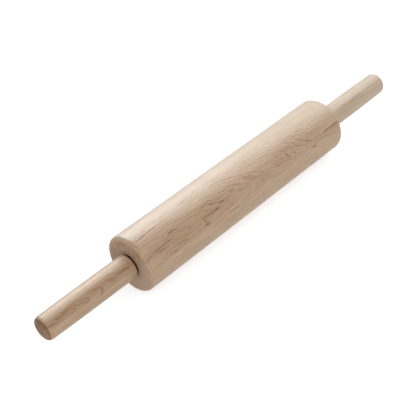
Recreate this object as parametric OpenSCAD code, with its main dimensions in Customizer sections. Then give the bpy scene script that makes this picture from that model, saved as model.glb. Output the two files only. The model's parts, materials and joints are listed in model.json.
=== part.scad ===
// Maple rolling pin: a solid barrel that runs on two ball bearings round a steel axle rod,
// with a turned handle screwed on each end of the rod.
// The pin lies on a table along X. The origin is on the table, under the middle of the barrel.

/* [Barrel] */
// Length of the barrel
barrel_length = 304.8; // [200:0.1:400]
// Diameter of the barrel
barrel_diameter = 63.5; // [50:0.1:90]
// Radius of the rounded edge at each end of the barrel
barrel_edge_radius = 3; // [1:0.1:6]
// Diameter of the bore that the axle rod runs through
barrel_bore_diameter = 16; // [15:0.1:18]
// Chamfer at the mouth of each bearing seat
seat_chamfer = 0.5; // [0.2:0.1:0.7]

/* [Handles] */
// Length of a handle, from its root to its tip
handle_length = 112; // [90:0.1:140]
// Diameter of the straight part, at the root
handle_root_diameter = 26.8; // [24:0.1:34]
// Diameter where the tip starts to round over
handle_tip_diameter = 26; // [20:0.1:34]
// Length of the straight part, from the root
handle_straight_length = 60; // [40:0.5:80]
// Chamfer at the root of the handle
handle_root_chamfer = 0.6; // [0.2:0.1:1]
// Radius of the edge of the tip
tip_edge_radius = 4.5; // [1:0.1:6]
// Radius of the crowned end face of the tip
tip_crown_radius = 25; // [20:0.5:80]
// Gap between the end face of the barrel and the root of the handle
handle_gap = 2.3; // [1.8:0.1:4]
// Depth of the drilled hole beyond the end of the insert
drill_run = 6; // [2:0.5:12]
// Angle of the point that the drill leaves, in degrees
drill_point_angle = 118; // [90:1:140]

/* [Axle rod] */
// Diameter of the axle rod
axle_diameter = 9.525; // [8.5:0.005:10]
// Major diameter of the thread at each end of the rod
thread_diameter = 7.9; // [7:0.1:8.2]
// Pitch of the thread
thread_pitch = 1.4; // [1:0.1:1.8]
// Depth of the thread
thread_depth = 0.7; // [0.4:0.05:0.9]
// Distance of the rod's shoulder inside the spacer bush, so that the handle clamps the bush
shoulder_setback = 0.4; // [0.2:0.1:1]
// Distance of the end of the stud from the end of its insert
stud_setback = 1; // [0.5:0.1:3]

/* [Threaded insert] */
// Length of the insert in the handle
insert_length = 22; // [14:0.5:30]
// Diameter of the insert's body
insert_diameter = 12.7; // [11:0.1:14]
// Diameter of the flange, flush with the root of the handle
insert_flange_diameter = 18; // [16:0.1:19]
// Thickness of the flange
insert_flange_thickness = 1.2; // [0.8:0.1:2]
// Height of each barb above the insert's body
barb_height = 0.45; // [0.2:0.05:0.8]
// Number of barbs
barb_count = 4; // [2:1:6]

/* [Bearings] */
// Outside diameter of the bearing
bearing_outside_diameter = 22.225; // [21.5:0.005:24]
// Width of the bearing
bearing_width = 7.142; // [6.8:0.001:8]
// Depth of the bearing's face below the end face of the barrel
bearing_recess = 0.8; // [0:0.1:3]
// Diameter of a ball
ball_diameter = 3.969; // [3.4:0.001:4.1]
// Number of balls in a bearing
ball_count = 7; // [6:1:8]
// Gap between the middle of a ball and the rim of each race, across the bearing
race_rim_gap = 1.19; // [1:0.01:1.3]
// Width of the step in the outer race that a shield rests on
shield_step = 0.7; // [0.4:0.05:0.9]
// Thickness of a bearing shield
shield_thickness = 0.35; // [0.2:0.05:0.4]
// Depth of a shield below the face of its race
shield_recess = 0.25; // [0.1:0.05:0.3]
// Radial thickness of the ball cage
cage_thickness = 1.6; // [1.2:0.1:1.8]
// Thickness of the cage behind the balls
cage_web = 0.6; // [0.4:0.05:0.7]
// Length of the cage's fingers past the middle of the balls
cage_reach = 1.2; // [0.8:0.1:1.6]

/* [Spacer, dust washer and retaining ring] */
// Wall of the spacer bush between the inner race and the handle
spacer_wall = 1.7; // [1:0.1:1.9]
// Thickness of the dust washer
washer_thickness = 1.5; // [0.8:0.1:1.5]
// Distance of the washer's rim inside the straight part of the handle
washer_inset = 0.8; // [0.6:0.1:2]
// Thickness of the retaining ring
ring_thickness = 0.635; // [0.4:0.005:1]
// Radial width of the retaining ring
ring_width = 1.85; // [1.6:0.05:2]
// Depth of the ring's groove in the rod
ring_groove_depth = 0.3; // [0.2:0.05:0.5]
// Opening of the retaining ring, in degrees
ring_opening = 44; // [30:1:70]
// Turn from the ring's end to the middle of its plier hole, in degrees
ring_hole_turn = 12; // [10:1:20]
// Diameter of the plier holes
ring_hole_diameter = 0.9; // [0.6:0.05:1]

/* [Clearances] */
// Radial clearance of a part that is slid or pressed on
fit_clearance = 0.02; // [0.01:0.01:0.05]
// Clearance round a ball in its races
ball_clearance = 0.05; // [0.03:0.01:0.08]
// Clearance round a ball in its cage
pocket_clearance = 0.12; // [0.1:0.01:0.15]
// Clearance between the shields and the inner race
shield_clearance = 0.2; // [0.15:0.01:0.25]
// Clearance of the threads, of the insert in its handle and of the washer on its bush
loose_clearance = 0.08; // [0.05:0.01:0.12]
// Clearance of the drilled hole round the thread
drill_clearance = 0.5; // [0.2:0.1:1]

/* [Hidden] */
$fn = 96;
LEFT = -1;
RIGHT = 1;
SIDES = ["left", "right"];
END_NODES = ["handle", "threaded_insert", "dust_washer", "spacer_bush", "retaining_ring",
    "bearing_outer_race", "bearing_inner_race", "bearing_balls", "bearing_cage",
    "bearing_outer_shield", "bearing_inner_shield"];

// Overshoot of a cutting shape past the face that it cuts
cut = 1;
axis_height = barrel_diameter / 2;

// Along an end, heights are counted outwards from the end face of the barrel
bearing_face = -bearing_recess;
bearing_middle = bearing_face - bearing_width / 2;
bearing_back = bearing_face - bearing_width;
handle_root = handle_gap;
handle_tip = handle_root + handle_length;

ball_radius = ball_diameter / 2;
pitch_radius = (axle_diameter + bearing_outside_diameter) / 4;
groove_radius = ball_radius + ball_clearance;
inner_shoulder_radius = pitch_radius - race_rim_gap;
outer_shoulder_radius = pitch_radius + race_rim_gap;
shield_outer_radius = outer_shoulder_radius + shield_step;
shield_inner_radius = inner_shoulder_radius + shield_clearance;

axle_radius = axle_diameter / 2;
stud_start = handle_root - shoulder_setback;
stud_end = handle_root + insert_length - stud_setback;
stud_chamfer = thread_depth;
thread_major = thread_diameter / 2;
thread_minor = thread_major - thread_depth;
thread_start = handle_root + insert_flange_thickness;

spacer_radius = axle_radius + fit_clearance + spacer_wall;
washer_radius = handle_root_diameter / 2 - washer_inset;

drill_radius = thread_major + drill_clearance;
drill_end = handle_root + insert_length + drill_run;

// Puts a shape that stands along +Z, from the barrel's end face, on the left or right end
module on_end(side) {
    translate([side * barrel_length / 2, 0, axis_height])
        rotate([0, side * 90, 0])
            children();
}

// Tube between two heights
module tube(inner, outer, low, high) {
    translate([0, 0, low])
        difference() {
            cylinder(r = outer, h = high - low);
            translate([0, 0, -cut]) cylinder(r = inner, h = high - low + 2 * cut);
        }
}

// The barrel: a solid of revolution with rounded edges, a through bore and two bearing seats
module barrel_outline() {
    radius = barrel_diameter / 2;
    half = barrel_length / 2;
    flat_radius = radius - barrel_edge_radius;
    flat_half = half - barrel_edge_radius;
    translate([0, -half]) square([flat_radius, barrel_length]);
    translate([0, -flat_half]) square([radius, 2 * flat_half]);
    for (end = [LEFT, RIGHT])
        translate([flat_radius, end * flat_half])
            intersection() {
                circle(r = barrel_edge_radius);
                translate([-barrel_edge_radius, -barrel_edge_radius])
                    square(2 * barrel_edge_radius);
            }
}

module bearing_seat() {
    seat_radius = bearing_outside_diameter / 2 + fit_clearance;
    translate([0, 0, bearing_back]) cylinder(r = seat_radius, h = cut - bearing_back);
    translate([0, 0, -seat_chamfer])
        cylinder(r1 = seat_radius, r2 = seat_radius + seat_chamfer + cut, h = seat_chamfer + cut);
}

module barrel() {
    color("burlywood")
        difference() {
            translate([0, 0, axis_height]) rotate([0, 90, 0]) rotate_extrude() barrel_outline();
            translate([-barrel_length / 2 - cut, 0, axis_height])
                rotate([0, 90, 0])
                    cylinder(d = barrel_bore_diameter, h = barrel_length + 2 * cut);
            for (side = [LEFT, RIGHT]) on_end(side) bearing_seat();
        }
}

// Outline of the thread as rings, from the axis out. It grows by a clearance for the insert.
function thread_points(low, high, grow) =
    let (turns = floor((high - low) / thread_pitch))
    [for (i = [0 : turns - 1], top = [0, 1])
        [(top == 0 ? thread_minor : thread_major) + grow, low + (i + top / 2) * thread_pitch]];

module thread_outline(low, high, grow) {
    ridges = thread_points(low, high, grow);
    polygon(concat(
        [[0, low]],
        ridges,
        [[thread_minor + grow, ridges[len(ridges) - 1][1] + thread_pitch / 2],
            [thread_minor + grow, high], [0, high]]
    ));
}

// One end of the rod, past its shoulder: a plain neck, the thread and a chamfered end
module axle_stud() {
    translate([0, 0, stud_start - cut]) cylinder(r = thread_minor, h = thread_start - stud_start + 2 * cut);
    rotate_extrude() thread_outline(thread_start, stud_end - stud_chamfer, 0);
    translate([0, 0, stud_end - stud_chamfer])
        cylinder(r1 = thread_minor, r2 = thread_minor - stud_chamfer / 2, h = stud_chamfer);
}

module ring_groove() {
    tube(axle_radius - ring_groove_depth, axle_radius + cut,
        bearing_back - ring_thickness - fit_clearance, bearing_back + fit_clearance);
}

module axle_rod() {
    half = barrel_length / 2 + stud_start;
    color("lightsteelblue") {
        difference() {
            translate([-half, 0, axis_height]) rotate([0, 90, 0]) cylinder(r = axle_radius, h = 2 * half);
            for (side = [LEFT, RIGHT]) on_end(side) ring_groove();
        }
        for (side = [LEFT, RIGHT]) on_end(side) axle_stud();
    }
}

// Outline of the handle: straight grip, slight taper, then an edge arc that runs into a crowned end
module handle_outline() {
    root_radius = handle_root_diameter / 2;
    tip_radius = handle_tip_diameter / 2;
    edge_centre = tip_radius - tip_edge_radius;
    crown_to_edge = tip_crown_radius - tip_edge_radius;
    crown_centre = handle_tip - tip_crown_radius;
    tip_start = crown_centre + sqrt(crown_to_edge * crown_to_edge - edge_centre * edge_centre);
    crown_edge = edge_centre * tip_crown_radius / crown_to_edge;
    polygon([
        [0, handle_root],
        [root_radius - handle_root_chamfer, handle_root],
        [root_radius, handle_root + handle_root_chamfer],
        [root_radius, handle_root + handle_straight_length],
        [tip_radius, tip_start],
        [0, tip_start]
    ]);
    translate([edge_centre, tip_start])
        intersection() {
            circle(r = tip_edge_radius);
            square(tip_edge_radius);
        }
    intersection() {
        translate([0, crown_centre]) circle(r = tip_crown_radius);
        translate([0, tip_start]) square([crown_edge, handle_tip - tip_start + cut]);
    }
}

// Outline of the insert: flange, body and barbs. It grows by a clearance for the handle's bore.
module insert_outline(grow) {
    radius = insert_diameter / 2;
    top = handle_root + insert_length;
    barb_pitch = (insert_length - insert_flange_thickness) / (barb_count + 1);
    translate([0, handle_root - grow])
        square([insert_flange_diameter / 2 + grow, insert_flange_thickness + 2 * grow]);
    translate([0, handle_root]) square([radius + grow, insert_length + grow]);
    for (i = [1 : barb_count])
        translate([radius, top - i * barb_pitch])
            polygon([[0, -barb_height - grow], [barb_height + grow, -grow],
                [barb_height + grow, grow], [0, 2 * barb_height + 2 * grow], [-barb_height, 0]]);
}

module handle() {
    color("wheat")
        difference() {
            rotate_extrude() handle_outline();
            rotate_extrude() insert_outline(loose_clearance);
            translate([0, 0, handle_root - cut])
                cylinder(r = drill_radius, h = drill_end - handle_root + cut);
            translate([0, 0, drill_end])
                cylinder(r1 = drill_radius, r2 = 0, h = drill_radius / tan(drill_point_angle / 2));
        }
}

module threaded_insert() {
    bore_radius = thread_major + loose_clearance;
    color("goldenrod")
        difference() {
            rotate_extrude() insert_outline(0);
            rotate_extrude()
                thread_outline(thread_start, handle_root + insert_length - stud_chamfer, loose_clearance);
            translate([0, 0, handle_root - cut]) cylinder(r = bore_radius, h = insert_flange_thickness + cut);
            translate([0, 0, handle_root + insert_length - stud_chamfer])
                cylinder(r = bore_radius, h = stud_chamfer + cut);
        }
}

module dust_washer() {
    color("dimgray")
        tube(spacer_radius + loose_clearance, washer_radius, handle_root - washer_thickness, handle_root);
}

module spacer_bush() {
    color("silver") tube(axle_radius + fit_clearance, spacer_radius, bearing_face, handle_root);
}

// Open ring that snaps into the rod's groove behind the inner race, with a hole in each end for pliers
module retaining_ring() {
    inner = axle_radius - ring_groove_depth + fit_clearance;
    outer = inner + ring_width;
    hole_angle = ring_opening / 2 + ring_hole_turn;
    color("darkgray")
        translate([0, 0, bearing_back - ring_thickness])
            linear_extrude(ring_thickness)
                difference() {
                    circle(r = outer);
                    circle(r = inner);
                    polygon([[0, 0], [2 * outer, -2 * outer * tan(ring_opening / 2)],
                        [2 * outer, 2 * outer * tan(ring_opening / 2)]]);
                    for (turn = [-hole_angle, hole_angle])
                        rotate(turn) translate([inner + ring_width / 2, 0]) circle(d = ring_hole_diameter);
                }
}

// Ball track, cut out of both races
module ball_track() {
    translate([0, 0, bearing_middle])
        rotate_extrude() translate([pitch_radius, 0]) circle(r = groove_radius);
}

module bearing_outer_race() {
    step_radius = shield_outer_radius + fit_clearance;
    step_depth = shield_recess + shield_thickness;
    color("silver")
        difference() {
            tube(outer_shoulder_radius, bearing_outside_diameter / 2, bearing_back, bearing_face);
            ball_track();
            for (face = [bearing_back, bearing_face])
                translate([0, 0, face - step_depth]) cylinder(r = step_radius, h = 2 * step_depth);
        }
}

module bearing_inner_race() {
    color("silver")
        difference() {
            tube(axle_radius + fit_clearance, inner_shoulder_radius, bearing_back, bearing_face);
            ball_track();
        }
}

// Places a copy at each ball
module at_each_ball() {
    translate([0, 0, bearing_middle])
        for (i = [0 : ball_count - 1])
            rotate(i * 360 / ball_count) translate([pitch_radius, 0, 0]) children();
}

module bearing_balls() {
    color("gainsboro") at_each_ball() sphere(r = ball_radius);
}

// Crown cage: a ring behind the balls, with fingers that reach between them
module bearing_cage() {
    back = ball_radius + pocket_clearance + cage_web;
    color("ivory")
        difference() {
            tube(pitch_radius - cage_thickness / 2, pitch_radius + cage_thickness / 2,
                bearing_middle - back, bearing_middle + cage_reach);
            at_each_ball() sphere(r = ball_radius + pocket_clearance);
        }
}

module bearing_outer_shield() {
    color("silver")
        tube(shield_inner_radius, shield_outer_radius,
            bearing_face - shield_recess - shield_thickness, bearing_face - shield_recess);
}

module bearing_inner_shield() {
    color("silver")
        tube(shield_inner_radius, shield_outer_radius,
            bearing_back + shield_recess, bearing_back + shield_recess + shield_thickness);
}

barrel();
axle_rod();

on_end(LEFT) handle();  // left_handle
on_end(LEFT) threaded_insert();  // left_threaded_insert
on_end(LEFT) dust_washer();  // left_dust_washer
on_end(LEFT) spacer_bush();  // left_spacer_bush
on_end(LEFT) retaining_ring();  // left_retaining_ring
on_end(LEFT) bearing_outer_race();  // left_bearing_outer_race
on_end(LEFT) bearing_inner_race();  // left_bearing_inner_race
on_end(LEFT) bearing_balls();  // left_bearing_balls
on_end(LEFT) bearing_cage();  // left_bearing_cage
on_end(LEFT) bearing_outer_shield();  // left_bearing_outer_shield
on_end(LEFT) bearing_inner_shield();  // left_bearing_inner_shield

on_end(RIGHT) handle();  // right_handle
on_end(RIGHT) threaded_insert();  // right_threaded_insert
on_end(RIGHT) dust_washer();  // right_dust_washer
on_end(RIGHT) spacer_bush();  // right_spacer_bush
on_end(RIGHT) retaining_ring();  // right_retaining_ring
on_end(RIGHT) bearing_outer_race();  // right_bearing_outer_race
on_end(RIGHT) bearing_inner_race();  // right_bearing_inner_race
on_end(RIGHT) bearing_balls();  // right_bearing_balls
on_end(RIGHT) bearing_cage();  // right_bearing_cage
on_end(RIGHT) bearing_outer_shield();  // right_bearing_outer_shield
on_end(RIGHT) bearing_inner_shield();  // right_bearing_inner_shield
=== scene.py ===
# %% [markdown]
# A baker's rolling pin, dressed for its portrait.
# The construction is finished before this script starts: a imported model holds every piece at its
# real size. Here each piece gets the surface that a maker gave it, and the wooden ones are turned
# again, finer, round the same sizes.
# The pin lies along X on a table. Its left handle points to -X, towards the camera.

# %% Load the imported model
import json
import math

import bmesh
import bpy
import numpy as np
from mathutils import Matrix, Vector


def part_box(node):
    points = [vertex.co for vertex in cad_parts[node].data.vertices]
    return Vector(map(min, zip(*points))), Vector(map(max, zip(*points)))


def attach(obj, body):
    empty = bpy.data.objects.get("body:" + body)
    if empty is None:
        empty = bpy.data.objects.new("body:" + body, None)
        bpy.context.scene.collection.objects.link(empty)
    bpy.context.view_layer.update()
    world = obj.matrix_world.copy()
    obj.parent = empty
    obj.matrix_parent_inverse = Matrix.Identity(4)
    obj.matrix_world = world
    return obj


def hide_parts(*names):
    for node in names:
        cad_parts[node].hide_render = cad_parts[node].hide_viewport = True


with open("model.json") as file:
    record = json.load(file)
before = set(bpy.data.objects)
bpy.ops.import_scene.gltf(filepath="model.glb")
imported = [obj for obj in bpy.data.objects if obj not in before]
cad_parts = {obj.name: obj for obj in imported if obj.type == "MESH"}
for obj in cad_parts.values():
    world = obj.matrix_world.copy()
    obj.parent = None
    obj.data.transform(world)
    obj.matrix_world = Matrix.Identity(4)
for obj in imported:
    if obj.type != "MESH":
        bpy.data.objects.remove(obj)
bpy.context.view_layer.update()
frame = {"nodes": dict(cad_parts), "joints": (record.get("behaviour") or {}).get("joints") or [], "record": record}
scene = bpy.context.scene
MM = 0.001
SIDES = {"left": -1, "right": 1}


# %% [markdown]
# Every turned piece is round about one axis, so its size is a radius and two stations along X.
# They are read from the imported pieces, so that the wood stays where the construction is.
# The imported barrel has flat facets, so the top of its box is a hair lower than the true round. The
# finer barrel is turned to that height, and stays inside the box.

# %% Read the sizes of the pin
def span_x(node):
    low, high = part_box(node)
    return low.x, high.x


def radius_of(node):
    low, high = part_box(node)
    return min(high.y - low.y, high.z - low.z) / 2


axis_height = frame["joints"][0]["pos_m"][2]
barrel_end = span_x("barrel")[1]
barrel_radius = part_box("barrel")[1].z - axis_height
handle_root, handle_tip = span_x("right_handle")
handle_radius = radius_of("right_handle")
print("barrel mm:", round(barrel_end * 2000, 1), "x", round(barrel_radius * 2000, 2))
print("handle mm:", round((handle_tip - handle_root) * 1000, 1),
      "x", round(handle_radius * 2000, 2))

# %% [markdown]
# The camera stands to the left of the pin, in front of it and above it, and looks down at it with
# a long lens, so the near handle is only a little larger than the far one. It is level.
# Its place was found by fitting the outline of the pin, so it is given as a place and two angles.

# %% Set up the camera
CAMERA_PLACE = (-0.5622, -0.4801, 0.6906)
CAMERA_AZIMUTH = -47.45
CAMERA_ELEVATION = 42.92
CAMERA_LENS = 80.05

camera_data = bpy.data.cameras.new("camera")
camera_data.lens = CAMERA_LENS
camera = bpy.data.objects.new("camera", camera_data)
camera.location = CAMERA_PLACE
camera.rotation_euler = (math.radians(90 - CAMERA_ELEVATION), 0, math.radians(CAMERA_AZIMUTH))
scene.collection.objects.link(camera)
scene.camera = camera
scene.view_settings.view_transform = "Standard"
print("camera at", CAMERA_PLACE)


# %% [markdown]
# Shader maths soon turns into a tangle of small nodes. A class that wraps one socket and knows the
# usual operators lets a pattern be written as a formula instead, and adds the Math nodes itself.
# One more method adds a node of any other kind.

# %% Write shader maths as formulas
class Wire:
    """An output socket of a node. Arithmetic on it adds Math nodes."""

    def __init__(self, socket):
        self.socket = socket
        self.tree = socket.id_data

    def node(self, kind, settings=None, inputs=None, output=0):
        """Adds a node of any kind. Its settings are made first, then its sockets."""
        made = self.tree.nodes.new(kind)
        for name, value in (settings or {}).items():
            setattr(made, name, value)
        for name, value in (inputs or {}).items():
            if isinstance(value, Wire):
                self.tree.links.new(value.socket, made.inputs[name])
            else:
                made.inputs[name].default_value = value
        return Wire(made.outputs[output])

    def math(self, operation, *others):
        """A Math node with this wire as its first value."""
        values = dict(enumerate((self,) + others))
        return self.node("ShaderNodeMath", {"operation": operation}, values)

    def __add__(self, other):
        return self.math("ADD", other)

    def __sub__(self, other):
        return self.math("SUBTRACT", other)

    def __rsub__(self, other):
        return self.node("ShaderNodeMath", {"operation": "SUBTRACT"}, {0: other, 1: self})

    def __mul__(self, other):
        return self.math("MULTIPLY", other)

    def __truediv__(self, other):
        return self.math("DIVIDE", other)

    def __pow__(self, other):
        return self.math("POWER", other)

    __radd__ = __add__
    __rmul__ = __mul__

    def parts(self):
        """The three parts of this vector."""
        split = self.node("ShaderNodeSeparateXYZ", {}, {0: self}).socket.node
        return [Wire(socket) for socket in split.outputs]

    def smooth(self, low, high):
        """0 below low, 1 above high, and a smooth step between them. It stays within 0 and 1
        anyway, so the node's own clamp is off: it would only add one more value."""
        return self.node("ShaderNodeMapRange", {"interpolation_type": "SMOOTHSTEP", "clamp": False},
                         {"Value": self, "From Min": low, "From Max": high})

    def mix(self, first, second):
        """Mixes two colours by this mask."""
        return self.node("ShaderNodeMix", {"data_type": "RGBA"},
                         {0: self, 6: first, 7: second}, output=2)

    def noise(self, size, detail=2.0, rough=0.5, shift=(0, 0, 0)):
        """Noise on this vector, with features of the given size in metres along X, Y and Z."""
        scaled = self.node("ShaderNodeVectorMath", {"operation": "DIVIDE"}, {0: self, 1: size})
        moved = self.node("ShaderNodeVectorMath", {"operation": "ADD"}, {0: scaled, 1: shift})
        return self.node("ShaderNodeTexNoise", {}, {"Vector": moved, "Scale": 1.0,
                                                    "Detail": detail, "Roughness": rough})


def new_finish(name):
    """A material with its Principled shader, and the object coordinates as a Wire."""
    material = bpy.data.materials.new(name)
    material.use_nodes = True
    shader = material.node_tree.nodes["Principled BSDF"]
    place = material.node_tree.nodes.new("ShaderNodeTexCoord")
    return material, shader, Wire(place.outputs["Object"])


def plug(wire, shader, name):
    shader.id_data.links.new(wire.socket, shader.inputs[name])


print("shader maths ready")

# %% [markdown]
# The studio is a white table in a white tent. Light comes evenly from everywhere, a little less
# from the roof and from the back. Four panels of the tent are brighter. They could light the pin as
# well, but here they show only as a satin sheen along the top of the wood, so they are switched off
# for diffuse light.

# %% Hang the panels of the tent
# For each panel: where it stands, its width and height in metres, and its power in watts.
PANELS = {
    "back_panel": ((0.57, 1.03, 1.12), (1.1, 1.0), 15),
    "low_panel": ((0.43, 1.40, 0.60), (1.0, 0.8), 20),
    "far_panel": ((1.20, 1.10, 0.60), (0.9, 0.8), 4.5),
    "high_panel": ((1.25, 0.35, 1.25), (1.4, 1.0), 23.5)}


def sheen_panel(name, place, size, watts):
    """A rectangle of light that faces the middle of the pin."""
    data = bpy.data.lights.new(name, "AREA")
    data.shape = "RECTANGLE"
    data.size, data.size_y = size
    data.energy = watts
    panel = bpy.data.objects.new(name, data)
    panel.location = place
    x, y, z = place
    drop = z - axis_height
    panel.rotation_euler = (math.atan2(math.hypot(x, y), drop), 0, math.atan2(y, x) + math.pi / 2)
    panel.visible_diffuse = False
    scene.collection.objects.link(panel)


for panel_name, (panel_place, panel_size, panel_watts) in PANELS.items():
    sheen_panel(panel_name, panel_place, panel_size, panel_watts)
print("panels:", len(PANELS))

# %% [markdown]
# The tent and the table are white to the camera and in reflections, whatever light falls on them.
# For the light itself the tent has a level of its own, and the table keeps a faint shadow where
# the barrel rests. The table's colour is slightly cool, because the wood warms that shadow, and the
# two together come out neutral.

# %% Whiten the tent and the table
FLOOR_SIZE = 8.0
FLOOR_COLOUR = (0.77, 0.80, 0.83, 1)
FLOOR_ROUGHNESS = 0.9
FLOOR_GLOW = 0.55
WHITE = (1, 1, 1, 1)
WALL_LEVEL = 1.12
ROOF_DROP = 0.28
BACK_DROP = 0.12


def white_to_camera(tree):
    """1 on the rays that show the surroundings: straight, glossy and transmitted."""
    path = tree.nodes.new("ShaderNodeLightPath").outputs
    seen = Wire(path["Is Camera Ray"])
    for ray in ("Is Glossy Ray", "Is Transmission Ray"):
        seen = seen.math("MAXIMUM", Wire(path[ray]))
    return seen


world = bpy.data.worlds.new("studio")
scene.world = world
world.use_nodes = True
backdrop = world.node_tree.nodes["Background"]
backdrop.inputs["Color"].default_value = WHITE
seen_white = white_to_camera(world.node_tree)
direction = Wire(world.node_tree.nodes.new("ShaderNodeTexCoord").outputs["Generated"])
_, towards_back, towards_roof = direction.parts()
tent = WALL_LEVEL - towards_roof.math("MAXIMUM", 0.0) * ROOF_DROP - towards_back * BACK_DROP
plug(seen_white + (1 - seen_white) * tent, backdrop, "Strength")

floor_mesh = bpy.data.meshes.new("floor")
half = FLOOR_SIZE / 2
floor_mesh.from_pydata([(-half, -half, 0), (half, -half, 0), (half, half, 0), (-half, half, 0)],
                       [], [(0, 1, 2, 3)])
floor = bpy.data.objects.new("floor", floor_mesh)
scene.collection.objects.link(floor)
table_top, table_shader, _ = new_finish("white_table")
table_shader.inputs["Roughness"].default_value = FLOOR_ROUGHNESS
table_shader.inputs["Base Color"].default_value = FLOOR_COLOUR
table_shader.inputs["Specular IOR Level"].default_value = 0.0
table_shader.inputs["Emission Color"].default_value = WHITE
plug(white_to_camera(table_top.node_tree) * FLOOR_GLOW, table_shader, "Emission Strength")
floor_mesh.materials.append(table_top)
print("studio ready")

# %% [markdown]
# Maple is pale, close grained wood. What the eye takes for its colour is many patterns on top of
# each other: broad patches, fibres, strands, fine hairs, flecks and pores. Each could be a picture
# wrapped round the pin, but a formula in three dimensions runs through solid wood as grain does,
# without a seam. So each pattern is noise, stretched along the grain, and a table gives its size.

# %% Patterns in maple
# For each pattern: the length and the width of its features in mm, its detail, its roughness, the
# way in which a stick's seed moves it, and the two levels between which it fades in.
PATTERNS = {
    "sway": (110, 34, 1.0, 0.5, (1, 0, 0), None),
    "wave": (13, 6, 2.0, 0.5, (0, 1, 0), None),
    "ragged": (4, 1.2, 1.0, 0.5, (1, 1, 1), None),
    "fade": (30, 12, 1.0, 0.5, (1, 1, 0), (0.36, 0.60)),
    "wobble": (22, 10, 2.0, 0.5, (1, 0, 1), None),
    "patches": (50, 13, 2.0, 0.5, (0, 0, 1), (0.35, 0.65)),
    "fibres": (30, 1.1, 3.0, 0.6, (1, 0, 1), None),
    "flecks": (3.2, 0.4, 1.0, 0.5, (0, 1, 1), (0.60, 0.72)),
    "strands": (25, 2.0, 2.0, 0.5, (0, 1, 1), (0.48, 0.75)),
    "hairs": (60, 0.8, 1.0, 0.5, (1, 1, 0), (0.52, 0.64)),
    "pores": (1, 0.6, 2.0, 0.5, (1, 0, 0), (0.35, 0.70)),
    "clouds": (10, 6, 3.0, 0.6, (0, 1, 0), (0.35, 0.68))}
NOISE_MIDDLE = 0.5


class Stick:
    """A stick of maple on the axis of the pin, and what its patterns share."""

    def __init__(self, place, kind, radius, seed):
        self.place = place
        self.kind = kind
        self.radius = radius
        self.seed = seed
        self.x, self.y, self.z = place.parts()
        self.up = self.z - axis_height

    def pattern(self, name):
        length, width, detail, rough, way, levels = PATTERNS[name]
        size = (length * MM, width * MM, width * MM)
        shift = tuple(step * self.seed for step in way)
        noise = self.place.noise(size, detail=detail, rough=rough, shift=shift)
        return noise.smooth(*levels) if levels else noise


print("patterns:", ", ".join(PATTERNS))


# %% [markdown]
# A tree lays down one shell of wood a year round its pith. A turned surface that cuts those shells
# at a low angle shows nested arches, the end of the pin shows arcs of circles, and both come from
# one formula: the distance to a pith that leans and bends along the pin, stirred by noise.

# %% Shells of growth round a bent pith
SWAY_DEPTH = 6.0 * MM
WAVE_DEPTH = 1.8 * MM
RAGGED_DEPTH = 0.4 * MM
SHELL_SAG = 10.0
SHELLS_INSIDE = 100.0


def lean(x, slope, swells):
    """How far the shells have moved outwards at a station, and how steeply they do. A swell rises
    as the smooth step 3tt - 2ttt between two stations, and its steepness is 6t(1 - t)."""
    moved = x * slope
    steep = x * 0.0 + slope
    for start, end, rise in swells:
        if isinstance(x, Wire):
            t = ((x - start) / (end - start)).math("MAXIMUM", 0.0).math("MINIMUM", 1.0)
        else:
            t = min(max((x - start) / (end - start), 0.0), 1.0)
        moved = moved + t * t * (3 - 2 * t) * rise
        steep = steep + t * (1 - t) * (6 * rise / (end - start))
    return moved, steep


def grow_shells(stick, ring_width, pith_angle, pith_depth, slope, swells, nose, stir):
    """The pith lies pith_depth from the axis, opposite to pith_angle, and bends along X. nose is
    the station where one ring has the tip of its arch. Gives the count of shells, how far a point
    is through its own, and how steeply the surface cuts them."""
    pith_y = pith_depth * math.sin(math.radians(pith_angle))
    pith_z = axis_height - pith_depth * math.cos(math.radians(pith_angle))
    first_line = pith_depth + stick.radius - lean(nose, slope, swells)[0]
    sway = stick.pattern("sway")
    wave = stick.pattern("wave")
    stick.ragged = stick.pattern("ragged")
    off_y = stick.y - pith_y
    off_z = stick.z - pith_z
    from_pith = (off_y * off_y + off_z * off_z) ** 0.5
    stick.girth = (0 - stick.y).math("ARCTAN2", stick.up) * stick.radius
    past = (stick.girth - math.radians(pith_angle) * stick.radius).math("MAXIMUM", 0.0)
    moved, ahead = lean(stick.x, slope, swells)
    leaning = from_pith - moved - past * past * SHELL_SAG
    noises = ((sway - NOISE_MIDDLE) * SWAY_DEPTH + (wave - NOISE_MIDDLE) * WAVE_DEPTH
              + (stick.ragged - NOISE_MIDDLE) * RAGGED_DEPTH)
    stick.stirred = leaning + noises * stir
    shells = (stick.stirred - first_line) / ring_width + SHELLS_INSIDE
    phase = shells.math("FRACT")
    stick.out = (stick.y * stick.y + stick.up * stick.up) ** 0.5
    around = (off_z * stick.y - off_y * stick.up) / (stick.out * from_pith)
    steepness = (around * around + ahead * ahead) ** 0.5
    return shells, phase, steepness


# %% [markdown]
# Each shell ends in a thin brown line, with a little browner late wood just before it. Some years
# leave a strong line and others hardly any, and every line fades in and out along its way.

# %% Lines where the shells end
LINE_WIDTH = (0.30 * MM, 1.00 * MM)
LINE_EDGE = (-0.10 * MM, 0.20 * MM)
CROWDED_RING = 2.5 * MM
LATE_WIDTH = 2.4 * MM
LATE_START = 0.2
LATE_DEPTH = 0.35
FAINT_RING = 0.35


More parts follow.
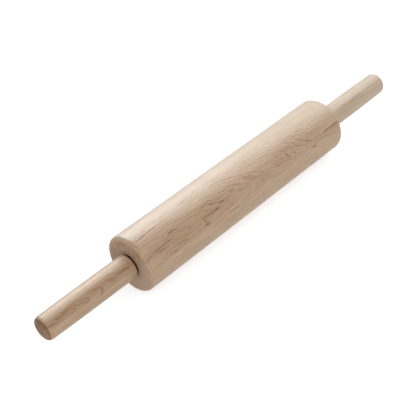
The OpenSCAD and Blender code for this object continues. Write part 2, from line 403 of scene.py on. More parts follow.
def draw_rings(stick, ring_width, shells, phase, steepness, bold):
    """before and after are the ways along the surface to the next line and from the last one.
    Where rings crowd together, crowded keeps each line narrower than its ring. bold is the
    strength of the faintest year."""
    before = (1 - phase) * ring_width / steepness
    after = phase * ring_width / steepness
    crowded = (1 - phase) * CROWDED_RING
    core = 1 - before.math("MAXIMUM", crowded).smooth(*LINE_WIDTH)
    late = (1 - before.smooth(0.0, LATE_WIDTH)) * (1 - phase.smooth(0.0, LATE_START)) * LATE_DEPTH
    stick.line = core.math("MAXIMUM", late) * after.smooth(*LINE_EDGE)
    year = shells.math("FLOOR")
    strength = stick.place.node("ShaderNodeTexWhiteNoise", {"noise_dimensions": "1D"},
                                {"W": year + stick.seed})
    shown = stick.pattern("fade")
    stick.ring = (stick.line * (bold + strength * (1 - bold))
                  * (FAINT_RING + shown * (1 - FAINT_RING)))


# %% [markdown]
# A few darker mineral streaks run along the grain, as they do in most maple, and some broad stripes
# are a little browner or paler: in part that is the wood, in part painted shade and painted sheen.
# They could be painted on a picture, but they are few, so each is a soft dash with a row of numbers:
# where it starts and ends along X in mm, its angle round the pin from the top towards the front, how
# many degrees it drifts, its half width in mm and its strength.

# %% Streaks along the grain
DASH_SWAY = 0.1
DASH_FADE = 0.30
DASH_TIP = 0.2
DASH_CORE = 0.35
DASH_RIM = 1.2


def streaks(stick, wobble, dashes):
    """The strongest of the dashes, stirred by wobble.
    Each dash is joined to the rest as soon as it is made, and all of it waits for the noise,
    because a shader can hold only so many values at once. Past that number it renders black."""
    station = stick.x + wobble * DASH_SWAY
    strongest = station * 0.0
    for start, end, angle, drift, half_width, strength in dashes:
        middle = (start + end) / 2 * MM
        height = math.radians(angle) * stick.radius
        tilt = math.radians(drift) * stick.radius / ((end - start) * MM)
        off = (stick.girth + wobble - height - (station - middle) * tilt).math("ABSOLUTE")
        fade = DASH_FADE * (end - start) * MM
        begun = station.smooth(start * MM, start * MM + fade)
        along = begun * (1 - station.smooth(end * MM - fade, end * MM))
        taper = along * (1 - DASH_TIP) + DASH_TIP
        edge = (off / taper).smooth(DASH_CORE * half_width * MM, DASH_RIM * half_width * MM)
        strongest = strongest.math("MAXIMUM", (1 - edge) * along * strength)
    return strongest


# %% [markdown]
# The turned side of a stick is tan with pinker patches. The paler and browner stripes come first,
# then the fibres, strands, hairs, flecks and rings darken it in that order, and the mineral veins
# lie on top. The cream stripes are paler wood where they cover a whole handle, and painted sheen
# where they run along the top of the barrel and of the near handle, so they hide a part of each.

# %% Colours of the turned side
TAN = (0.500, 0.356, 0.222, 1)
PINK = (0.505, 0.346, 0.224, 1)
# Cream and straw are paler colours. In bands along the top of the barrel and of the near handle they are painted
# sheen.
CREAM_AND_SHEEN = {"barrel": (0.485, 0.390, 0.288, 1), "handle": (0.512, 0.414, 0.296, 1)}
SHEEN_STRAW = (0.475, 0.371, 0.253, 1)
# The browner stripes: browner wood, and in their broad bands painted shade as well.
HEART_TAN_AND_SHADE = (0.36, 0.205, 0.105, 1)
FIBRE_BROWN = (0.33, 0.21, 0.125, 1)
RING_BROWN = (0.235, 0.105, 0.045, 1)
VEIN_BROWN = (0.160, 0.048, 0.010, 1)
SHEEN_STRAW_SHARE = {"barrel": 1.0, "handle": 0.0}
SHEEN_STRAW_REACH = 0.12
HAIR_DEPTH = {"barrel": 0.20, "handle": 0.44}
FIBRE_LEVELS = (0.35, 0.70)
FIBRE_DEPTH = 0.34
STRAND_DEPTH = 0.30
FLECK_DEPTH = 0.45
VEIN_DEPTH = 0.45
VEIN_FIBRES = 0.9
CREAM_AND_SHEEN_HIDES = {"fibres": 0.14, "strands": 0.25, "hairs": 0.6, "rings": 0.55}
SKIN_LOW = 2.5 * MM
SKIN_HIGH = 1.0 * MM
WOBBLE_DEPTH = 6.0 * MM
TORN_DEPTH = 1.6 * MM


def side_grain(stick, deep, veins, stripes_and_shade, creams_and_sheen):
    """The colour along the stick. The veins lie only in its outermost skin. deep is the strength
    of the rings."""
    skin = stick.out.smooth(stick.radius - SKIN_LOW, stick.radius - SKIN_HIGH)
    wobble = (stick.pattern("wobble") - NOISE_MIDDLE) * WOBBLE_DEPTH
    torn = wobble + (stick.ragged - NOISE_MIDDLE) * TORN_DEPTH
    vein = streaks(stick, torn, veins) * skin
    stripe_and_shade = streaks(stick, wobble, stripes_and_shade)
    patches = stick.pattern("patches")
    stick.fibres = stick.pattern("fibres")
    stick.flecks = stick.pattern("flecks")
    wood = patches.mix(TAN, PINK)
    # Painted sheen: the cream bands along the top. On the far handle the band covers it all and is its paler wood.
    cream_and_sheen = streaks(stick, wobble, creams_and_sheen)
    to_sheen_straw = stick.x.smooth(-SHEEN_STRAW_REACH, SHEEN_STRAW_REACH) * SHEEN_STRAW_SHARE[stick.kind]
    wood = cream_and_sheen.mix(wood, to_sheen_straw.mix(CREAM_AND_SHEEN[stick.kind], SHEEN_STRAW))
    # Browner stripes: browner wood, and in the broad bands painted shade.
    wood = stripe_and_shade.mix(wood, HEART_TAN_AND_SHADE)
    strands = stick.pattern("strands")
    hairs = stick.pattern("hairs")
    thick = stick.fibres.smooth(*FIBRE_LEVELS)
    wood = (thick * (FIBRE_DEPTH - cream_and_sheen * CREAM_AND_SHEEN_HIDES["fibres"])).mix(wood, FIBRE_BROWN)
    wood = (strands * (STRAND_DEPTH - cream_and_sheen * CREAM_AND_SHEEN_HIDES["strands"])).mix(wood, FIBRE_BROWN)
    hairs = hairs * HAIR_DEPTH[stick.kind] * (1 - cream_and_sheen * CREAM_AND_SHEEN_HIDES["hairs"])
    wood = hairs.mix(wood, RING_BROWN)
    wood = (stick.flecks * FLECK_DEPTH).mix(wood, RING_BROWN)
    wood = (stick.ring * (1 - cream_and_sheen * CREAM_AND_SHEEN_HIDES["rings"]) * deep).mix(wood, RING_BROWN)
    return (vein * (VEIN_DEPTH + stick.fibres * VEIN_FIBRES)).mix(wood, VEIN_BROWN)


# %% [markdown]
# Where a stick is cut across, its fibres stand on end and drink the oil, so the end grain is
# darker, with clouds, fine arcs and open pores. It is paler towards the front and below, which is
# painted light. The barrel's rounded rim is paler too, a painted highlight, and the crown of a
# handle has a ring of painted shade.

# %% Colours of the cut ends
# Painted light: the colour of the ends where they are lit, and of the barrel's highlight near its rim.
END_LIT = {"barrel": (0.580, 0.420, 0.290, 1), "handle": (0.360, 0.215, 0.115, 1)}
END_GRAIN = {"barrel": (0.450, 0.292, 0.183, 1), "handle": (0.265, 0.137, 0.058, 1)}
END_BROWN = {"barrel": (0.225, 0.130, 0.075, 1), "handle": (0.085, 0.034, 0.009, 1)}
ARC_DEPTH = {"barrel": 0.22, "handle": 0.45}
ARC_WIDTH = 0.75 * MM
ARC_LEVELS = (0.1, 1.0)
# Painted light: the ends pale towards the front and below, between these fractions of the radius.
LIT_SIDE_FRONT = 0.8
LIT_SIDE_BELOW = 0.6
LIT_SIDE_FROM = -0.2
LIT_SIDE_TO = 0.6
CLOUD_DEPTH = 0.60
LIT_DEPTH = 0.70
PORE_DEPTH = 0.25
END_LINE_DEPTH = 0.50


def end_grain(stick, end_masks):
    """Where the stick is cut, and the colour there."""
    grain = END_GRAIN[stick.kind]
    brown = END_BROWN[stick.kind]
    # end_masks gives where the wood is cut, a painted rim highlight and a ring of painted rim shade.
    cut, rim_highlight, rim_shade = end_masks(stick.x, stick.out)
    pores = stick.pattern("pores")
    clouds = stick.pattern("clouds")
    # Painted light: paler towards the front and below.
    lit_side = ((0 - stick.y) * LIT_SIDE_FRONT - stick.up * LIT_SIDE_BELOW).smooth(
        LIT_SIDE_FROM * stick.radius, LIT_SIDE_TO * stick.radius)
    end = (clouds * CLOUD_DEPTH).mix(grain, brown)
    end = (lit_side.math("MAXIMUM", rim_highlight) * LIT_DEPTH).mix(end, END_LIT[stick.kind])
    arcs = (stick.stirred / ARC_WIDTH).math("SINE").smooth(*ARC_LEVELS)
    end = (arcs.math("MAXIMUM", rim_shade) * ARC_DEPTH[stick.kind]).mix(end, brown)
    end = (pores * PORE_DEPTH).mix(end, brown)
    end = (stick.line * END_LINE_DEPTH).mix(end, brown)
    return cut, end


# %% [markdown]
# The two colours meet where the wood is cut. The finish is a thin coat of oil, so the fibres are
# felt and catch the light a little: they lead the roughness and a faint relief.

# %% Put the maple together
WOOD_ROUGHNESS = 0.40
FIBRE_ROUGHNESS = 0.12
CUT_ROUGHNESS = 0.15
FIBRE_RELIEF = 0.5
RING_RELIEF = 0.3
FLECK_RELIEF = 0.5
RELIEF_STRENGTH = 0.25
RELIEF_DEPTH = 0.2 * MM


def maple(name, kind, radius, seed, growth, ring_width, bold, deep, end_masks, dashes):
    """growth holds what grow_shells asks for, and dashes are the veins, the browner stripes, partly
    painted shade, and the cream bands, partly painted sheen.
    """
    material, shader, place = new_finish(name)
    stick = Stick(place, kind, radius, seed)
    shells, phase, steepness = grow_shells(stick, ring_width, **growth)
    draw_rings(stick, ring_width, shells, phase, steepness, bold)
    wood = side_grain(stick, deep, *dashes)
    cut, end = end_grain(stick, end_masks)
    plug(cut.mix(wood, end), shader, "Base Color")
    plug(WOOD_ROUGHNESS + stick.fibres * FIBRE_ROUGHNESS + cut * CUT_ROUGHNESS, shader, "Roughness")
    relief = stick.fibres * FIBRE_RELIEF - stick.ring * RING_RELIEF - stick.flecks * FLECK_RELIEF
    bump = place.node("ShaderNodeBump", {}, {"Strength": RELIEF_STRENGTH,
                                             "Distance": RELIEF_DEPTH, "Height": relief})
    plug(bump, shader, "Normal")
    print(name, "nodes", len(material.node_tree.nodes))
    return material


# %% [markdown]
# Geometry Nodes make the pieces that follow a rule. Every tree here starts with named inputs for
# its sizes, and ends by turning copies into real faces and giving them their finish. The formulas
# work in such a tree as they do in a material.

# %% Start and end a tree of Geometry Nodes
PITCH = 1.4 * MM
MERGE_DISTANCE = 1e-6


def start_tree(name, inputs):
    """A tree with these inputs, each with the kind of its socket, and a wire from each."""
    tree = bpy.data.node_groups.new(name, "GeometryNodeTree")
    for label, kind in inputs.items():
        tree.interface.new_socket(label, in_out="INPUT", socket_type="NodeSocket" + kind)
    tree.interface.new_socket("Made", in_out="OUTPUT", socket_type="NodeSocketGeometry")
    given = tree.nodes.new("NodeGroupInput")
    return tree, {socket.name: Wire(socket) for socket in given.outputs}


def end_tree(tree, made, finish):
    single = made.node("GeometryNodeRealizeInstances", {}, {"Geometry": made})
    painted = made.node("GeometryNodeSetMaterial", {}, {"Geometry": single, "Material": finish})
    tree.links.new(painted.socket, tree.nodes.new("NodeGroupOutput").inputs["Made"])
    print(tree.name, "nodes", len(tree.nodes))
    return tree


# %% [markdown]
# A lathe turns a straight stick into a round one, so the round pieces are made the same way: one
# outline, from the axis out, swept round the axis. The outline is the object's own mesh, one point
# for each row, and a grid takes its rows from it.
# A lathe also cuts threads: the tool goes in and out as it moves along, in step with the turn. So
# the outline's unused Y holds the depth of a thread at each point, and 0 leaves the piece plain.

# %% A lathe made of Geometry Nodes
def lathe_nodes():
    tree, given = start_tree("lathe", {
        "Outline": "Geometry", "Steps": "Int", "Axis Height": "Float", "Pitch": "Float",
        "Finish": "Material"})
    outline = given["Outline"]
    steps = given["Steps"]
    rows = outline.node("GeometryNodeAttributeDomainSize", {"component": "MESH"},
                        {"Geometry": outline}, output="Point Count")
    last_row = rows - 1.0
    grid = outline.node("GeometryNodeMeshGrid", {}, {
        "Size X": last_row, "Size Y": steps, "Vertices X": rows, "Vertices Y": steps + 1.0})
    place = outline.node("GeometryNodeInputPosition")
    along_rows, along_steps, _ = place.parts()
    row = (along_rows + last_row / 2.0).math("ROUND")
    column = (along_steps + steps / 2.0).math("ROUND")
    turn = column / steps * math.tau
    on_outline = outline.node("GeometryNodeSampleIndex",
                              {"data_type": "FLOAT_VECTOR", "domain": "POINT"},
                              {"Geometry": outline, "Value": place, "Index": row}, output="Value")
    station, depth, rim = on_outline.parts()
    turns = station / given["Pitch"] - turn / math.tau
    tool = turns.math("PINGPONG", 0.5) * 2.0
    radius = rim - depth * tool
    swept = station.node("ShaderNodeCombineXYZ", {}, {
        "X": station,
        "Y": radius * turn.math("SINE"),
        "Z": radius * turn.math("COSINE") + given["Axis Height"]})
    placed = grid.node("GeometryNodeSetPosition", {}, {"Geometry": grid, "Position": swept})
    closed = grid.node("GeometryNodeMergeByDistance", {}, {"Geometry": placed,
                                                           "Distance": MERGE_DISTANCE})
    smooth = grid.node("GeometryNodeSetShadeSmooth", {}, {"Geometry": closed})
    return end_tree(tree, smooth, given["Finish"])


LATHE = lathe_nodes()

# %% [markdown]
# The tree runs as a modifier. Its result is kept as a plain mesh, its doubles are merged and its
# faces turned outwards, and edges sharper than a shallow angle stay crisp. Then the piece is told
# which body carries it and which finish it has, and the imported piece it stands for is hidden.

# %% Run the lathe
SHARP_ANGLE = 35.0
WOOD_STEPS = 192
WASHER_STEPS = 128
THREAD_STEPS = 80


def run_nodes(name, start, tree, values, body, node):
    """Runs a node tree on a mesh, keeps the result as a plain mesh, and fits it into the frame."""
    obj = bpy.data.objects.new(name, start)
    scene.collection.objects.link(obj)
    modifier = obj.modifiers.new("nodes", "NODES")
    modifier.node_group = tree
    sockets = {item.name: item.identifier for item in tree.interface.items_tree
               if item.in_out == "INPUT"}
    for label, value in values.items():
        modifier[sockets[label]] = value
    bpy.context.view_layer.update()
    finished = obj.evaluated_get(bpy.context.evaluated_depsgraph_get())
    mesh = bpy.data.meshes.new_from_object(finished)
    obj.modifiers.remove(modifier)
    obj.data = mesh
    finish = [material for material in mesh.materials if material][0]
    mesh.materials.clear()
    mesh.materials.append(finish)
    mesh.polygons.foreach_set("material_index", [0] * len(mesh.polygons))
    work = bmesh.new()
    work.from_mesh(mesh)
    bmesh.ops.remove_doubles(work, verts=work.verts, dist=MERGE_DISTANCE)
    bmesh.ops.recalc_face_normals(work, faces=work.faces)
    open_edges = sum(not edge.is_manifold for edge in work.edges)
    work.to_mesh(mesh)
    work.free()
    mesh.set_sharp_from_angle(angle=math.radians(SHARP_ANGLE))
    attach(obj, body)
    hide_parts(node)
    print(name, "faces", len(mesh.polygons), "open edges", open_edges)


def turned(name, outline, finish, body, node, steps=WOOD_STEPS):
    """outline is a list of (station along X, radius, depth of a thread) in metres, from one end of
    the surface. The depth may be left out."""
    start = bpy.data.meshes.new(name)
    points = [(point[0], point[2] if len(point) > 2 else 0.0, point[1]) for point in outline]
    start.from_pydata(points, [(i, i + 1) for i in range(len(points) - 1)], [])
    values = {"Steps": steps, "Axis Height": axis_height, "Pitch": PITCH, "Finish": finish}
    run_nodes(name, start, LATHE, values, body, node)


def arc(centre, radius, start, end, steps):
    """Points of an arc in the outline's plane. Angles are in degrees, from +X towards the rim."""
    angles = np.radians(np.linspace(start, end, steps + 1))
    return [(centre[0] + radius * math.cos(a), centre[1] + radius * math.sin(a)) for a in angles]


def on_side(sign, outline):
    """An outline of the right side, or its mirror image for the left side."""
    return [(sign * point[0],) + tuple(point[1:]) for point in outline]


# %% [markdown]
# The barrel is one solid stick of maple: a long cylinder with lightly rounded edges, bored through
# for the rod, with a wider seat at each end for a bearing. Its outline is a closed loop.
# The end grain takes over on the rounded edge, and a painted highlight makes it paler near the rim.

# %% The outline of the barrel
BARREL_EDGE = 3.0 * MM
BORE_RADIUS = 8.0 * MM
SEAT_CHAMFER = 0.5 * MM
SEAT_CLEARANCE = 0.02 * MM
FACE_START = 2.0 * MM
FACE_MARGIN = 1.0 * MM
FACE_ROWS = 6
EDGE_ROWS = 10
SIDE_ROWS = 41
CUT_FROM = 0.35
CUT_TO = 0.02
# Painted highlight: where the barrel's end grain pales towards its rim, as fractions of its radius.
RIM_HIGHLIGHT_FROM = 0.80
RIM_HIGHLIGHT_TO = 0.96
seat_radius = radius_of("left_bearing_outer_race") + SEAT_CLEARANCE
seat_floor = span_x("right_bearing_outer_race")[0]


def barrel_outline():
    edge_start = barrel_radius - BARREL_EDGE
    side_start = barrel_end - BARREL_EDGE
    face = np.linspace(seat_radius + FACE_START, edge_start - FACE_MARGIN, FACE_ROWS)
    half_loop = [(0.0, BORE_RADIUS), (seat_floor, BORE_RADIUS), (seat_floor, seat_radius),
                 (barrel_end - SEAT_CHAMFER, seat_radius), (barrel_end, seat_radius + SEAT_CHAMFER)]
    half_loop += [(barrel_end, r) for r in face]
    half_loop += arc((side_start, edge_start), BARREL_EDGE, 0, 90, EDGE_ROWS)
    half_loop += [(x, barrel_radius) for x in np.linspace(side_start, 0, SIDE_ROWS)[1:]]
    return half_loop + on_side(-1, reversed(half_loop[1:-1])) + [half_loop[0]]


def barrel_ends(x, out):
    """Where the end grain shows, and a painted highlight that makes it paler near the rim. There is
    no rim shade here.
    """
    cut = x.math("ABSOLUTE").smooth(barrel_end - CUT_FROM * BARREL_EDGE,
                                    barrel_end - CUT_TO * BARREL_EDGE)
    return cut, out.smooth(RIM_HIGHLIGHT_FROM * barrel_radius, RIM_HIGHLIGHT_TO * barrel_radius), out * 0.0


print("bearing seat mm:", round(seat_radius * 2000, 2), "from", round(seat_floor * 1000, 2))

# %% [markdown]
# The barrel's pith lay behind and below, so the arches show on the side towards the camera. Two
# swells of the trunk, each with its start, its end and its rise, close them into nested tongues.
# The veins and stripes were placed one by one, where the real barrel shows them. The broadest
# stripes are painted shade as well as browner wood.

# %% Turn the barrel
BARREL_VEINS = [
    (-160, -106, 6.5, 2, 0.7, 1.00), (-170, -120, 2, 1, 0.6, 0.35),
    (-118, -100, 33.5, 2, 0.75, 0.90), (-147, -108, 42, -1, 0.80, 0.85),
    (-141, -118, 49, 2, 0.7, 0.70), (-156, -141, 48, -9, 1.0, 0.40), (-125, -86, 52, 1, 0.6, 0.45),
    (-134, -90, 59.5, 1, 0.5, 0.60), (-152, -100, 63.5, 1, 0.45, 0.45),
    (-112, -66, 63, -3, 0.45, 0.45), (-118, -74, 56, -1, 0.45, 0.40),
    (-148, -104, 67.5, 1, 0.4, 0.30), (-96, -56, 68, 0, 0.4, 0.30),
    (-77, -43, 48.5, -1.5, 1.0, 0.85), (-74, -67, 55, 28, 1.7, 0.65),
    (-75, -65, 60.5, 1, 0.9, 0.75), (-47, -37, 43, 2, 1.3, 0.85), (-61, -40, 36.5, 15, 0.8, 0.75),
    (-76, -52, 30, 3, 0.5, 0.50), (-112, -62, 24.5, 4, 0.55, 0.45), (-45, -12, 28.5, 4, 0.5, 0.45),
    (-22, -8, 35, 14, 0.7, 0.60), (-29, -20, 38, -2, 1.0, 0.45), (-41, -27, 43, -2, 0.5, 0.50),
    (-32, -17, 39.5, -5, 0.5, 0.50), (-21, 1, 48.5, 8, 0.6, 0.50), (-45, -20, 70, 1, 0.7, 0.50),
    (-65, -41, 73, 0, 0.6, 0.30), (-54, -12, 60.5, 1, 0.5, 0.50), (-26, 18, 64, 1, 0.4, 0.35),
    (-4, 36, 59.5, -3, 0.45, 0.40), (16, 60, 66, 2, 0.4, 0.30), (48, 98, 64, -3, 0.4, 0.30),
    (-88, -60, -2, 1, 0.7, 0.45), (-112, -96, -4, 0, 0.7, 0.30), (-62, -54, -7, 0, 0.9, 0.35),
    (-8, 15, 34.5, 24, 0.7, 0.65), (12, 38, 50.5, 8, 0.6, 0.45), (38, 53, 54, 3, 0.9, 0.75),
    (38, 62, 38.5, 6, 0.6, 0.50), (58, 68, 48, 18, 1.3, 0.62), (50, 69, 54, 0, 0.7, 0.50),
    (40, 70, 33, 14, 0.6, 0.40), (58, 100, 43, 24, 0.6, 0.55), (93, 103, 48.5, 8, 1.1, 0.70),
    (67, 81, 52, 17, 0.7, 0.40), (98, 108, 66, 3, 0.9, 0.90), (87, 103, 21, 2, 1.2, 0.28),
    (116, 165, 54, 3, 0.75, 0.90), (126, 160, 60, 3, 0.5, 0.45), (111, 133, 63, 2, 0.5, 0.40),
    (123, 148, 67, 2, 0.5, 0.35), (102, 126, 52, 3, 0.5, 0.50), (119, 129, 31.5, 0, 0.8, 0.22),
    (46, 57, 0, -4, 0.9, 0.35), (26, 34, 62, 4, 0.6, 0.50), (13, 24, 54, 0, 1.0, 0.50)]
# The broadest bands, along the front of the barrel, are painted shade as well as browner wood.
BARREL_STRIPES_AND_SHADE = [
    (-175, 10, 43, 0, 13.5, 0.50), (-60, 150, 48, 4, 10, 0.20), (-190, -80, 20, 2, 9, 0.40),
    (-165, -90, 43, -2, 4, 0.60), (-120, -20, 47, -2, 4, 0.60), (-75, -62, 56, 6, 4, 0.55),
    (-62, -30, 38, 10, 4, 0.50), (30, 70, 48, 14, 5, 0.38), (60, 112, 40, 26, 4, 0.30),
    (95, 175, 56, 3, 4, 0.38), (-10, 30, 42, 22, 4, 0.40)]
# Painted sheen: paler bands along the top of the barrel, where its satin finish catches the light.
BARREL_SHEEN_BANDS = [
    (-400, 400, -25, 4, 20, 0.80), (40, 400, 4, 0, 20, 0.80), (90, 400, 22, 6, 13, 0.60),
    (-400, -60, -16, 2, 16, 0.95)]
BARREL_SWELLS = [(-0.075, 0.060, 0.0095), (0.035, 0.112, 0.0085)]
BARREL_GROWTH = {"pith_angle": 53, "pith_depth": 0.15, "slope": 0.02, "swells": BARREL_SWELLS,
                 "nose": 0.0985, "stir": 1.0}
BARREL_SEED = 34.9
barrel_maple = maple("barrel_maple", "barrel", barrel_radius, BARREL_SEED, BARREL_GROWTH,
                     ring_width=1.7 * MM, bold=0.4, deep=0.85, end_masks=barrel_ends,
                     dashes=(BARREL_VEINS, BARREL_STRIPES_AND_SHADE, BARREL_SHEEN_BANDS))
turned("turned_barrel", barrel_outline(), barrel_maple, "barrel", "barrel")

# %% [markdown]
# A handle is held by a brass insert: a tube with a flange at the root of the handle, a thread
# inside, and saw-toothed rings outside that bite into the wood. The wood has the same outline with
# a little more room, so the outline is written once.

# %% The outline of a threaded insert
INSERT_RADIUS = 6.35 * MM
INSERT_FLANGE = 1.2 * MM
BARB = 0.45 * MM
BARB_COUNT = 4
WOOD_GAP = 0.08 * MM
insert_start, insert_end = span_x("right_threaded_insert")
insert_flange_radius = radius_of("right_threaded_insert")


def insert_side():
    """The outside of the insert, from its flange to its end."""
    flange = handle_root + INSERT_FLANGE
    side = [(handle_root, insert_flange_radius), (flange, insert_flange_radius),
            (flange, INSERT_RADIUS)]
    spacing = (insert_end - flange) / (BARB_COUNT + 1)
    for i in range(BARB_COUNT, 0, -1):
        tooth = insert_end - i * spacing
        side += [(tooth - BARB, INSERT_RADIUS), (tooth, INSERT_RADIUS + BARB),
                 (tooth + 2 * BARB, INSERT_RADIUS)]
    return side + [(insert_end, INSERT_RADIUS)]


print("insert mm:", round((insert_end - insert_start) * 1000, 2))

# %% [markdown]
# A handle is a plain straight grip. It tapers a little towards its tip, where the edge is rounded
# over and the end is crowned. Its root is drilled for the rod and bored wider for the insert.
# Only the crown shows end grain, with a darker ring round it on its rounded rim, which is painted
# shade.

# %% The outline of a handle
ROOT_CHAMFER = 0.6 * MM
STRAIGHT_LENGTH = 60 * MM
TIP_RADIUS = 13.0 * MM
TIP_EDGE = 4.5 * MM
TIP_CROWN = 25.0 * MM
DRILL_RADIUS = 4.45 * MM
DRILL_POINT = 0.6
DRILL_PAST = 6.0 * MM
STRAIGHT_ROWS = 13
TAPER_ROWS = 9
CROWN_ROWS = 12
TIP_FROM = 6.0 * MM
TIP_TO = 4.6 * MM
CUT_RIM = (11.5 * MM, 12.4 * MM)
# Painted shade: a darker ring on the rim of the handle's crown, and its strength.
SHADED_RIM = (9.4 * MM, 11.4 * MM)
RIM_SHADE_DEPTH = 0.8


def handle_outline():
    drill_end = insert_end + DRILL_PAST
    edge_centre = TIP_RADIUS - TIP_EDGE
    crown_centre = handle_tip - TIP_CROWN
    tip_start = crown_centre + math.sqrt((TIP_CROWN - TIP_EDGE) ** 2 - edge_centre ** 2)
    meet = math.degrees(math.atan2(edge_centre, tip_start - crown_centre))
    taper_start = handle_root + STRAIGHT_LENGTH
    points = [(drill_end + DRILL_RADIUS * DRILL_POINT, 0.0), (drill_end, DRILL_RADIUS)]
    points += [(insert_end + WOOD_GAP, DRILL_RADIUS)]
    points += [(x, r + WOOD_GAP) for x, r in reversed(insert_side())]
    points += [(handle_root, handle_radius - ROOT_CHAMFER)]
    points += [(handle_root + ROOT_CHAMFER, handle_radius)]
    points += [(x, handle_radius) for x in np.linspace(handle_root, taper_start, STRAIGHT_ROWS)[1:]]
    points += [(taper_start + t * (tip_start - taper_start),
                handle_radius + t * (TIP_RADIUS - handle_radius))
               for t in np.linspace(0, 1, TAPER_ROWS)[1:-1]]
    points += arc((tip_start, edge_centre), TIP_EDGE, 90, meet, EDGE_ROWS)
    points += arc((crown_centre, 0.0), TIP_CROWN, meet, 0, CROWN_ROWS)[1:]
    return points


def handle_ends(x, out):
    """Where the end grain shows, and a ring of painted shade on the rim of the crown. There is no
    rim highlight here.
    """
    tip = x.math("ABSOLUTE").smooth(handle_tip - TIP_FROM, handle_tip - TIP_TO)
    cut = tip * (1 - out.smooth(*CUT_RIM))
    return cut, out * 0.0, out.smooth(*SHADED_RIM) * RIM_SHADE_DEPTH


print("handle outline points:", len(handle_outline()))

# %% [markdown]
# The two handles come from different sticks. The near one has a brown stripe with arches in it,
# which is heartwood and painted shade, a band of painted shade near its top behind, and a band of
# painted sheen along its top. The far one is clean cream wood with hardly a line.

# %% Turn the handles
HANDLE_VEINS = {
    "left": [
        (-209, -194, 37, 13, 0.9, 0.45), (-202, -195, 57, -30, 2.0, 0.50),
        (-190, -180, 42, 20, 1.0, 0.40), (-182, -157, 38, 14, 0.8, 0.40),
        (-233, -212, 43, 28, 0.9, 0.40), (-254, -225, 30, 3, 0.8, 0.45),
        (-278, -250, 42, 3, 1.4, 0.45), (-258, -234, 34, 6, 1.8, 0.45)],
    "right": [
        (180, 228, 37, 2, 0.6, 0.30), (200, 262, 52, 2, 0.5, 0.25), (158, 196, 58, 3, 0.5, 0.25),
        (212, 250, 30, -3, 0.6, 0.25), (176, 236, 68, 2, 0.5, 0.20), (150, 300, 120, 4, 0.6, 0.25),
        (190, 300, -70, 4, 0.6, 0.25), (140, 210, -140, 3, 0.7, 0.30)]}
# The near handle's stripe at 35 degrees is heartwood and painted shade, and its band at -18 degrees along the
# whole handle is painted shade.
HANDLE_STRIPES_AND_SHADE = {
    "left": [
        (-310, -130, 35, 2, 6, 0.75), (-500, 100, -18, 0, 10, 0.30)],
    "right": [
        (160, 240, 44, 2, 6, 0.20), (100, 400, 150, 8, 8, 0.35)]}
# The near handle's band along its top is painted sheen. The far handle's covers it all round and is its paler
# wood.
HANDLE_CREAMS_AND_SHEEN = {
    "left": [
        (-500, 100, -1, 0, 6.3, 0.80)],
    "right": [
        (-100, 500, 0, 0, 60, 0.85)]}
HANDLE_NOSE = {"left": -0.193, "right": 0.190}
HANDLE_RINGS = {"left": 0.85, "right": 0.28}
HANDLE_SEED = {"left": 7.3, "right": 15.3}
for side, sign in SIDES.items():
    growth = {"pith_angle": 49, "pith_depth": 0.08, "slope": 0.06, "swells": [],
              "nose": HANDLE_NOSE[side], "stir": 0.2}
    finish = maple(side + "_handle_maple", "handle", handle_radius, HANDLE_SEED[side], growth,
                   ring_width=0.96 * MM, bold=0.8, deep=HANDLE_RINGS[side], end_masks=handle_ends,
                   dashes=(HANDLE_VEINS[side], HANDLE_STRIPES_AND_SHADE[side], HANDLE_CREAMS_AND_SHEEN[side]))
    turned(side + "_turned_handle", on_side(sign, handle_outline()), finish,
           "handles", side + "_handle")

# %% [markdown]
# The small pieces are steel, brass and nylon. A finish could be one plain colour, but metal shows
# how it was worked: turning leaves fine rings round the axis, drawing leaves lines along it, and
# moulding or pressing leaves an even grain. The same lines lead the colour, the gloss and a faint
# relief, and smudges of oil vary them. Black nylon is a warm dark grey, never a pure black, and on
# the washers that warm near-black is painted shade as well: the shadow in the gap by each handle.

# %% Finishes for turned, drawn and moulded pieces
# For each way of working: the size of the noise along X, Y and Z, its detail and its roughness.
# On a turned piece Y is the way out from the axis, and there is no Z.
MARKS = {
    "turned": ((0.25 * MM, 0.25 * MM, 1.0), 3.0, 0.6),
    "drawn": ((50 * MM, 0.3 * MM, 0.3 * MM), 3.0, 0.6),
    "moulded": ((0.4 * MM, 0.4 * MM, 0.4 * MM), 2.0, 0.5)}
LINE_LEVELS = (0.35, 0.70)
LINE_SHARE = 0.6
SMUDGE_SIZE = (6 * MM, 4 * MM, 4 * MM)
SMUDGE_SHIFT = (3.1, 0, 0)
SMUDGE_LEVELS = (0.35, 0.75)
GLOSS_SPREAD = 0.35
MARK_DEPTH = 0.05 * MM


def worked(name, colour, worn, roughness, metallic, marks, depth=0.15):
    """marks says how the piece was made, and depth how much of it can be felt."""
    material, shader, place = new_finish(name)
    shader.inputs["Metallic"].default_value = metallic
    x, y, z = place.parts()
    up = z - axis_height
    out = (y * y + up * up) ** 0.5
    size, detail, rough = MARKS[marks]
    path = place
    if marks == "turned":
        path = place.node("ShaderNodeCombineXYZ", {}, {0: x, 1: out, 2: 0.0})
    lines = path.noise(size, detail=detail, rough=rough)
    smudges = place.noise(SMUDGE_SIZE, shift=SMUDGE_SHIFT)
    shade = (lines.smooth(*LINE_LEVELS) * LINE_SHARE
             + smudges.smooth(*SMUDGE_LEVELS) * (1 - LINE_SHARE))
    plug(shade.mix(colour, worn), shader, "Base Color")
    spread = GLOSS_SPREAD * roughness
    plug(lines * spread + smudges * spread + (1 - GLOSS_SPREAD) * roughness, shader, "Roughness")
    bump = place.node("ShaderNodeBump", {}, {"Strength": depth, "Distance": MARK_DEPTH,
                                             "Height": lines})
    plug(bump, shader, "Normal")
    return material


# %% [markdown]
# Each slot of the record gets its finish here: a colour, the colour where it is worn, a roughness
# and whether it is metal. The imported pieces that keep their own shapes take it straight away.

